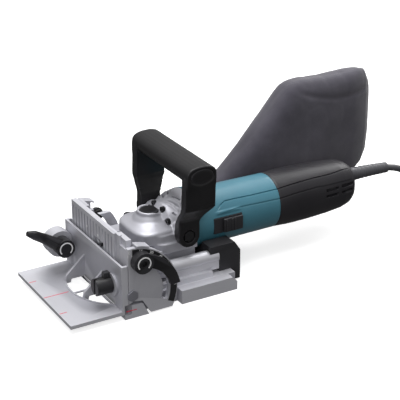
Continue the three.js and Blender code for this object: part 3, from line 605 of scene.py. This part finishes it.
motor_skin = housing_skin(
    "motor_housing_skin", MOTOR_FRONT, MOTOR_REAR, step=1.4, fine_from=MOTOR_REAR, fine_step=1.4, end_inset=0,
)
switch_recess = rounded_box("switch_recess", (74, -50, 52), (111, -29.6, 71), 0.8)
motor_skin = carved(motor_skin, switch_recess)
lug = bevelled(prism("motor_lug", [(126, 40), (134, 40), (134, 50), (126, 50)], "y", 28, 59.5), 1.2, 3)
motor_skin = merged("motor_housing_skin", [motor_skin, lug])
settle(motor_skin, "teal_plastic", "motor_unit", ["motor_housing"], 50)
rear_skin = housing_skin(
    "rear_housing_skin", REAR_FRONT, REAR_END, step=1.2, fine_from=225, fine_step=0.6, end_inset=2,
)
settle(rear_skin, "housing_plastic", "motor_unit", ["rear_housing"], 50)
refined("switch_base", 0.4)
RIB_WIDTH = 2.0
SLIDER_RIBS = (87.6, 94.6, 98.2)
slider = merged("power_switch_skin", [
    rounded_box("slider_body", (85.4, -36, 53.4), (109.6, -32.9, 69.6), 0.9),
    *(
        rounded_box(f"slider_rib_{k}", (x, -36.9, 54.2), (x + RIB_WIDTH, -35.5, 68.8), 0.5)
        for k, x in enumerate(SLIDER_RIBS)
    ),
])
settle(slider, "black_plastic", "power_switch", ["power_switch"])

# ---------- gear housing ----------
gear = copy_of("gear_housing", "gear_housing_skin")


NECK_FRONT = 24.3
NECK_LENGTH = 19.7
NECK_RADIUS = 28
NECK_FLARE = 3.4
COLLAR_X = 11


def round_axis(x, radius, degrees):
    """Point at x and a radius from the motor's axis, at an angle from straight up towards the left."""
    a = math.radians(degrees)
    return Vector((x, -radius * math.sin(a), AXIS_Z + radius * math.cos(a)))


def neck_point(x, degrees, out=0.0):
    """Point on the flared neck, or a distance outside it."""
    radius = NECK_RADIUS + (x - NECK_FRONT) * NECK_FLARE / NECK_LENGTH + out + crest(x, degrees)
    return round_axis(x, radius, degrees)


def neck_bar(name, ends, half, low, high, side=1):
    """Bar that follows the neck between two (x, angle) ends, for a louvre slot or a rib."""
    (x0, a0), (x1, a1) = ends
    rings = []
    for k in range(13):
        t = k / 12
        x, angle = x0 + (x1 - x0) * t, a0 + (a1 - a0) * t
        width = half * min(1, 0.35 + 6 * min(t, 1 - t))
        ring = []
        for shift, out in ((-width, low), (width, low), (width, high), (-width, high)):
            point = neck_point(x + shift, angle, out)
            ring.append(Vector((point.x, side * point.y, point.z)))
        rings.append(ring)
    return loft(name, rings)


LOUVRES = [((36.6, 6), (41.6, 25)), ((31.2, 7), (37.4, 38)), ((29.0, 41), (31.6, 50))]
RIBS = [((33.9, 4), (39.6, 31)), ((28.2, 12), (34.0, 45))]
# crown over the top of the neck, hollow underneath
CROWN_INNER = 27.9
CROWN_STATIONS = (26, 30, 34, 38, 42, 46, 50, 53.4)
crown_angles = [4 * k - 80 for k in range(41)]
crown = loft("crown", [
    [neck_point(x, degrees) for degrees in crown_angles]
    + [round_axis(x, CROWN_INNER, degrees) for degrees in reversed(crown_angles)]
    for x in CROWN_STATIONS
])
ribs = [
    neck_bar(f"rib_{k}_{side}", ends, 0.8, -1.5, 0.9, side)
    for side in (1, -1) for k, ends in enumerate(RIBS)
]
# Shoulder over the blade housing, a broad ledge that rises to the collar:
# (height, half length, half width, power of the outline)
SHOULDER = [
    (57, 28.8, 33.0, 3.2), (69.2, 28.6, 32.8, 3.2), (71, 27.0, 31.2, 3.0), (73.2, 22.5, 25.5, 2.6),
    (76, 18.0, 19.4, 2.2), (79, 15.4, 15.9, 2.0), (81, 14.5, 14.5, 2.0),
]
shoulder = loft("shoulder", [
    [
        Vector((
            COLLAR_X + half_x * signed_power(math.cos(a), 2 / power),
            half_y * signed_power(math.sin(a), 2 / power),
            height,
        )) for a in (2 * math.pi * k / 64 for k in range(64))
    ] for height, half_x, half_y, power in SHOULDER
])
gear = softened(merged("gear_housing_skin", [gear, shoulder, crown, *ribs]), 0.8, 8, 0.45)
louvres = merged("louvres", [
    neck_bar(f"louvre_{k}_{side}", ends, 1.2, -5, 4, side)
    for side in (1, -1) for k, ends in enumerate(LOUVRES)
])
gear = carved(gear, louvres)
# well that the spindle-lock button travels in
WELL_GAP = 0.7
WELL_DEPTH = 2.6
button = [vertex.co / MM for vertex in nodes["lock_button"].data.vertices]
low, high = ([pick(point[k] for point in button) for k in range(3)] for pick in (min, max))
well_centre = [(a + b) / 2 for a, b in zip(low, high)]
well_reach = [(b - a) / 2 + WELL_GAP for a, b in zip(low, high)]
well = prism("well", [
    (well_centre[0] + well_reach[0] * math.cos(a), well_centre[1] + well_reach[1] * math.sin(a))
    for a in (2 * math.pi * k / 32 for k in range(32))
], "z", low[2] - WELL_DEPTH, high[2] + 4)
gear = carved(gear, well)
settle(gear, "cast_aluminium", "motor_unit", ["gear_housing"], 70)
COLLAR_CAP = [(0.1, 83.45), (10.8, 83.45), (10.9, 84.6), (10.2, 85.3), (7.5, 85.5), (4, 84.6), (0.1, 84.4)]
cap = turned("collar_cap", COLLAR_CAP, (COLLAR_X, 0, 0), (0, 0, 1))
settle(cap, "black_plastic", "motor_unit")
refined("lock_button", 0.7, 3)

# ---------- D-handle ----------
GRIP_X = 41.8
GRIP_Z = 139.8


def grip_ring(half_x, half_z, y, count):
    """Ellipse round the middle of the grip, across the Y axis."""
    return [
        Vector((GRIP_X + half_x * math.cos(a), y, GRIP_Z + half_z * math.sin(a)))
        for a in (2 * math.pi * k / count for k in range(count))
    ]


handle = copy_of("handle", "handle_skin")
for side in (-1, 1):
    # (distance from the middle, growth of the dish)
    dish = [
        grip_ring(15.4 + growth, 9.6 + growth * 0.8, side * y, 48)
        for y, growth in ((61.6, -2.2), (62.2, -0.6), (65, 0.7))
    ]
    handle = carved(handle, loft("dish", dish))
handle = softened(handle, 0.8, 6, 0.6)
for vertex in handle.data.vertices:
    x, y, z = vertex.co / MM
    # a soft ridge down the outside of each leg
    if abs(y) > 44 and z < 134:
        middle = 39.4 if z > 100 else 39.4 - (100 - z) * 0.16
        rise = max(0.0, 1 - abs(x - middle) / 15)
        fade = smooth_step(z, 74, 90) * (1 - smooth_step(z, 124, 133))
        face = smooth_step(abs(y), 60.4, 62.4) if z > 102 else 0.5
        vertex.co.y -= math.copysign(1.5 * (1 - rise) * fade * face, y) * MM
settle(handle, "black_plastic", "motor_unit", ["handle"], 70)
for name in ("left", "right"):
    side = -1 if name == "left" else 1
    plate = loft(f"handle_cap_{name}_skin", [
        grip_ring(13.6 + growth, 8.2 + growth, side * y, 40)
        for y, growth in ((61.4, -1.0), (61.9, 0), (62.3, -0.2), (62.5, -1.2), (62.3, -5.8))
    ])
    settle(plate, "black_plastic", "motor_unit", [f"handle_cap_{name}"], 60)
    refined(f"handle_bolt_{name}", 0.5)


# ---------- base, rear block and fence ----------
for node_name, width in (
    ("base_casting", 0.9), ("fence_casting", 0.7), ("angle_guide", 0.7), ("bottom_cover", 0.5),
    ("setting_nut", 0.3), ("pointer_plate_left", 0.3), ("pointer_plate_right", 0.3),
    ("rack_plate", 0.2),
):
    refined(node_name, width)
for node_name, width in (
    ("rear_block", 1.4), ("clamp_lever", 0.9), ("height_knob", 0.8), ("tilt_lock_lever", 0.8),
    ("stop_plunger", 0.8), ("depth_turret", 0.6), ("dust_port", 0.8),
):
    refined(node_name, width, 3)


for side in ("left", "right"):
    refined(f"pivot_bolt_{side}", 0.4, material="dark_aluminium")
    refined(f"lock_stud_{side}", 0.3, material="black_steel")


def ring_mark(name, body, centre, axis, radius, width, start, end, proud=0.25):
    """Painted arc on a face across an axis."""
    axis = Vector(axis)
    across = Vector((0, 0, 1)) if abs(axis.z) < 0.5 else Vector((1, 0, 0))
    across = (across - axis * across.dot(axis)).normalized()
    up = axis.cross(across)
    rings = []
    for k in range(33):
        a = math.radians(start + (end - start) * k / 32)
        way = math.cos(a) * across + math.sin(a) * up
        rings.append([
            Vector(centre) + way * (radius + half) + axis * height
            for half, height in (
                (-width / 2, -0.1), (width / 2, -0.1), (width / 2, proud), (-width / 2, proud),
            )
        ])
    return settle(loft(name, rings), "white_paint", body)


ring_mark("tilt_hub_ring", "tilt_lever", (-37.3, -80, 65.8), (0, -1, 0), 7.2, 1.3, -140, 130)
ring_mark("clamp_hub_ring", "clamp_lever", (-73, 36, 42), (0, -1, 0), 7.2, 1.3, -140, 130)

# ---------- dust bag ----------
# (x, low, high, half width, middle y)
BAG = [
    (112.5, 20, 54, 17, 82), (124, 16, 55, 18, 81), (146, 12, 68, 20, 79), (182, 10, 103, 23, 77.5),
    (212, 12, 138, 25, 77), (236, 16, 166, 26, 77), (254, 18, 171, 26, 77), (290, 24, 168.5, 26, 77),
    (330, 33, 169.5, 22, 77), (350, 42, 169.5, 13, 77), (361, 58, 150, 4, 77),
]
AROUND = 168
ROWS = 120
rings = []
for row in range(ROWS + 1):
    share = row / ROWS
    x = 112.5 + (361 - 112.5) * share
    low, high, half, middle = between(BAG, x)
    # ease the corners of the outline
    if 124 < x < 350:
        before, after = between(BAG, x - 6), between(BAG, x + 6)
        low, high, half = ((a + 2 * b + c) / 4 for a, b, c in zip(before, (low, high, half), after))
    half = max(half, 2.0)
    ring = []
    for k in range(AROUND):
        a = 2 * math.pi * k / AROUND
        c, s = math.cos(a), math.sin(a)
        y = signed_power(c, 0.62) * half
        z = signed_power(s, 0.75) * (high - low) / 2
        level = abs(s)
        # the sides puff out in the middle and pull in at the seams that run round the outline
        seam = math.exp(-((abs(y) / half - 0.86) / 0.05) ** 2) * smooth_step(level, 0.72, 0.9)
        place = Vector((x, middle + y, (low + high) / 2 + z))
        inward = Vector((0, -c, -s))
        push = 1.3 * seam
        sag = smooth_step(x, 215, 290) * (1 - smooth_step(x, 320, 356)) * (1 - smooth_step(level, 0.45, 0.85))
        if c < 0:
            push += 3.0 * sag
        fold = noise.noise(Vector((x * 0.017, y * 0.02 + 3 * (c < 0), place.z * 0.021 + x * 0.006)))
        crease = abs(noise.noise(Vector((x * 0.034 + place.z * 0.02, 7.1, place.z * 0.03 - x * 0.012))))
        push += (1.6 * fold + 1.9 * (0.18 - crease) * (crease < 0.18)) * smooth_step(x, 120, 150)
        # soft fold from the top corner down to the back edge
        line = 161 - 0.11 * (x - 240) - 9 * math.sin((x - 240) / 120 * math.pi) if x > 236 else 400
        if c < 0 and x > 236:
            push += 1.6 * math.exp(-((place.z - line) / 3.0) ** 2) * smooth_step(x, 240, 262)
        ring.append(place + inward * push)
    rings.append(ring)
bag = loft("dust_bag_skin", rings)
relax = bag.modifiers.new("relax", "SMOOTH")
relax.iterations = 3
applied(bag)
settle(bag, "bag_fabric", "base", ["dust_bag"], 80)


# ---------- painted marks and scale ----------
def mark(name, body, outline, axis, low, high, material):
    made = prism(name, outline, axis, low, high)
    return settle(made, material, body)


PLATE_TOP = 10.5
PAINT = 0.12
for k, (y, x_end) in enumerate(((0, -88.5), (40, -109), (-40, -109))):
    mark(
        f"guide_mark_{k + 1}", "guide",
        [(-117.2, y - 0.45), (x_end, y - 0.45), (x_end, y + 0.45), (-117.2, y + 0.45)],
        "z", PLATE_TOP - 0.1, PLATE_TOP + PAINT, "red_paint",
    )
mark("foot_mark", "base", [(-54.4, 9.2), (-42, 9.2), (-42, 10.1), (-54.4, 10.1)], "y", -69.5 - PAINT, -69.3,
     "red_paint")
for k, y in enumerate((21.6, -5.5)):
    mark(
        f"panel_pointer_{k + 1}", "fence", [(y - 1.5, 72.6), (y, 69.4), (y + 1.5, 72.6)],
        "x", -54 - PAINT, -53.8, "white_paint",
    )

PIVOT = Vector((-47, 0, 27))
LABELS = ["0", "15", "30", "45", "60", "75", "90"]
SCALE_FACE = 70.3
for side, name in ((-1, "left"), (1, "right")):
    parts = []
    for k in range(19):
        degrees = 5 + 5 * k
        a = math.radians(degrees)
        way = Vector((math.cos(a), 0, math.sin(a)))
        cross = Vector((-math.sin(a), 0, math.cos(a)))
        if side > 0 and 48 * math.sin(a) > 32.5:
            continue
        inner, outer = 45.8, (48.0 if (degrees - 3) % 15 < 5 else 47.0)
        face = side * SCALE_FACE
        ring = [
            [
                PIVOT + way * r + cross * w + Vector((0, face + side * h, 0))
                for w, h in ((-0.25, -0.05), (0.25, -0.05), (0.25, PAINT), (-0.25, PAINT))
            ]
            for r in (inner, outer)
        ]
        parts.append(loft("tick", ring))
    for k, label in enumerate(LABELS):
        a = math.radians(93 - 15 * k)
        if side > 0 and 53 * math.sin(a) > 32.5:
            continue
        text = bpy.data.curves.new("label", "FONT")
        text.body = label
        text.size = 5.0 * MM
        text.extrude = 0.06 * MM
        text.align_x = "CENTER"
        text.align_y = "CENTER"
        text_object = bpy.data.objects.new("label", text)
        scene.collection.objects.link(text_object)
        bpy.context.view_layer.update()
        evaluated = text_object.evaluated_get(bpy.context.evaluated_depsgraph_get())
        mesh = bpy.data.meshes.new_from_object(evaluated)
        bpy.data.objects.remove(text_object)
        # letters stand on the side face, their tops outwards from the pivot
        up = Vector((math.cos(a), 0, math.sin(a)))
        out = Vector((0, side, 0))
        across = up.cross(out)
        turn = Matrix((across, up, out)).transposed().to_4x4()
        turn.translation = (PIVOT + up * 50.2 + Vector((0, side * 70.38, 0))) * MM
        mesh.transform(turn)
        label_object = bpy.data.objects.new("label", mesh)
        scene.collection.objects.link(label_object)
        parts.append(label_object)
    refined(f"scale_plate_{name}", 0.15)
    settle(merged(f"scale_marks_{name}", parts), "white_paint", "fence")


# ---------- stage and lights ----------
def studio_light(name, location, target, size, power):
    light = bpy.data.objects.new(name, bpy.data.lights.new(name, "AREA"))
    light.data.shape = "SQUARE"
    light.data.size = size
    light.data.energy = power
    light.location = location
    light.rotation_euler = (Vector(target) - Vector(location)).to_track_quat("-Z", "Y").to_euler()
    scene.collection.objects.link(light)


floor_mesh = bpy.data.meshes.new("floor")
floor_mesh.from_pydata([(-6, -6, 0), (6, -6, 0), (6, 6, 0), (-6, 6, 0)], [], [(0, 1, 2, 3)])
floor = bpy.data.objects.new("floor", floor_mesh)
scene.collection.objects.link(floor)
floor_material, _, floor_shader = new_material("floor_paper")
floor_shader.inputs["Base Color"].default_value = (0.6, 0.6, 0.6, 1)
floor_shader.inputs["Roughness"].default_value = 0.9
floor_shader.inputs["Emission Color"].default_value = (1, 1, 1, 1)
floor_shader.inputs["Emission Strength"].default_value = 0.7
floor_mesh.materials.append(floor_material)
floor.visible_glossy = False
floor.visible_diffuse = False

world = bpy.data.worlds.new("studio")
world.use_nodes = True
sky = world.node_tree
way_in = sky.nodes.new("ShaderNodeTexCoord")
split = sky.nodes.new("ShaderNodeSeparateXYZ")
sky.links.new(way_in.outputs["Generated"], split.inputs["Vector"])
bright = add_node(sky, "ShaderNodeMapRange", From_Min=-0.25, From_Max=0.6, To_Min=0.14, To_Max=0.62)
sky.links.new(split.outputs["Z"], bright.inputs["Value"])
sky.links.new(bright.outputs["Result"], sky.nodes["Background"].inputs["Strength"])
sky.nodes["Background"].inputs["Color"].default_value = (1, 1, 1, 1)
scene.world = world
MIDDLE = (0.08, 0, 0.05)
studio_light("overhead", (0.1, 0.1, 1.5), MIDDLE, 1.2, 26)
studio_light("front_left", (-1.2, -1.3, 0.9), MIDDLE, 0.9, 8)
studio_light("right_rear", (1.3, 0.6, 0.9), MIDDLE, 0.7, 9)
